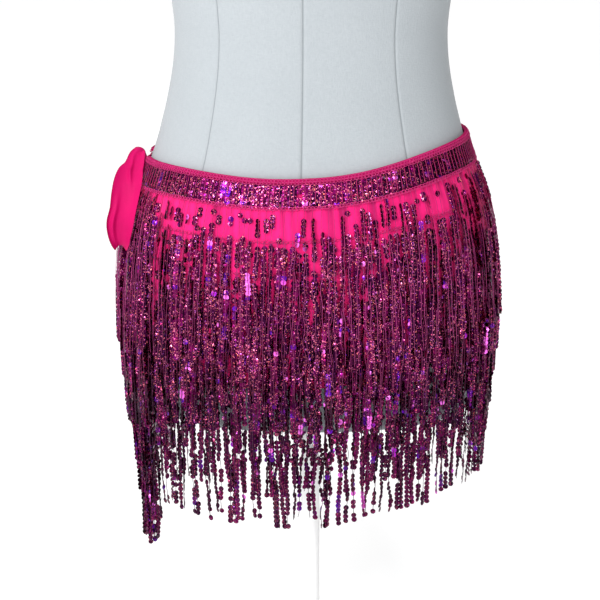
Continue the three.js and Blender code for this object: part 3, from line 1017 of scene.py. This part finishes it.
LOOP_ROWS = 110
LOOP_COLUMNS = 41
loop = smooth_rows(LOOP_PATH, LOOP_ROWS)
middles = loop[:, :3] * MM + np.array([0, 0, WAISTLINE])
along = np.gradient(middles, axis=0)
along /= np.linalg.norm(along, axis=1, keepdims=True)
across = np.array([1.0, 0, 0]) - along * along[:, :1]
across /= np.linalg.norm(across, axis=1, keepdims=True)
facing = np.cross(across, along)
side = np.linspace(-1, 1, LOOP_COLUMNS)
run = np.linspace(0, 1, LOOP_ROWS)[:, None]
near_knot = np.exp(-((run / 0.13) ** 2)) + np.exp(-(((1 - run) / 0.16) ** 2))
pleats = np.sin(side * 6 + 1.4 * np.sin(run * 7)) * 0.8 * near_knot
crease_at = side + 0.1 - 3.2 * (run - 0.17)
crease = -3.0 * np.exp(-((crease_at / 0.13) ** 2)) * np.exp(-(((run - 0.18) / 0.07) ** 2))
low_part = np.exp(-(((run - 0.44) / 0.10) ** 2))
lip = 1.5 * np.exp(-(((side + 0.86) / 0.14) ** 2)) - 2.4 * np.exp(-(((side + 0.52) / 0.15) ** 2))
soft = 0.7 * uneven(side[None, :] * 9 + 30, 5, 71) * uneven(run * 60, 11, 72)
crown = 5.5 * (1 - side[None, :] ** 2) * (0.35 + 0.65 * np.sin(math.pi * np.clip(run, 0, 1)))
lift = (crown + pleats + crease + lip * low_part + soft) * MM
widths = (loop[:, 3] * MM / 2)[:, None] * (1 + 0.05 * uneven(run * 90, 13, 73))
sheet = middles[:, None, :] + across[:, None, :] * (widths * side[None, :])[..., None]
outer = sheet + facing[:, None, :] * lift[..., None]
inner = outer - facing[:, None, :] * 0.8 * MM
bow_loop = wall("Bow_loop", outer, inner)
finish_piece(bow_loop, satin.material)
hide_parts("bow_loop")

KNOT_TURNS = 64
KNOT_RINGS = 40
low, high = (np.array(corner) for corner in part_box("sash_knot"))
turn, rise = np.meshgrid(
    np.linspace(0, 2 * math.pi, KNOT_TURNS, endpoint=False), np.linspace(-1, 1, KNOT_RINGS + 2)[1:-1]
)
wraps = 1 + 0.07 * np.sin(7 * rise + 2.2 * np.sin(turn + 0.6)) + 0.04 * np.sin(3 * turn + 2 * rise)
girth = np.sqrt(1 - rise**2) * wraps
shape = np.stack([girth * np.cos(turn), girth * np.sin(turn), rise], -1)
points = list(((low + high) / 2 + shape * (high - low) / 2).reshape(-1, 3))
faces = grid_faces(KNOT_RINGS, KNOT_TURNS, closed=True)
faces.append(list(range(KNOT_TURNS))[::-1])
faces.append([(KNOT_RINGS - 1) * KNOT_TURNS + at for at in range(KNOT_TURNS)])
knot = mesh_piece("Sash_knot", points, faces)
finish_piece(knot, satin.material)
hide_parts("sash_knot")


def hanging_strip(name, turn_from, turn_to, drops_outs, folds, narrow, seed):
    """A strip of the sash on the scarf's side. Its table gives drop and distance out."""
    rows, columns = 90, 33
    table = smooth_rows(drops_outs, rows)
    share = np.linspace(-1, 1, columns)[None, :]
    fall = np.linspace(0, 1, rows)[:, None]
    spread = narrow + (1 - narrow) * np.clip(fall * 3, 0, 1) ** 0.7
    middle = math.radians((turn_from + turn_to) / 2)
    angles = middle + math.radians((turn_to - turn_from) / 2) * share * spread
    angles = angles + 0.012 * uneven(fall * 40, 13, seed)
    waves = np.sin(folds * math.pi * share + 1.5 * uneven(fall * 30, 12, seed + 1)) * (0.6 + 1.1 * fall)
    drops = table[:, :1] * MM + 0 * share
    out = (table[:, 1:] + waves) * MM
    return wall(name, on_scarf(angles, drops, out + 0.8 * MM), on_scarf(angles, drops, out))


strap = hanging_strip("Sash_strap", -100.5, -90, [(6, 3.4), (15, 3.8), (25, 3.4)], 2.2, 1.0, 81)
finish_piece(strap, satin.material)
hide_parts("sash_strap")
TAIL_TABLE = [(27, 4.5), (36, 6), (62, 8.6), (92, 11.4), (125, 11.5), (185, 8.5)]
tail_front = hanging_strip("Sash_tail_front", -95, -85.5, TAIL_TABLE + [(248, 6)], 2.6, 0.45, 84)
tail_back = hanging_strip("Sash_tail_back", -103, -94, TAIL_TABLE + [(228, 7)], 2.1, 0.45, 91)
for tail, node, cut in (
    (tail_front, "sash_tail_front", (0.033, 0.222)),
    (tail_back, "sash_tail_back", (0.029, 0.202)),
):
    finish_piece(tail, satin.material)
    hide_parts(node)
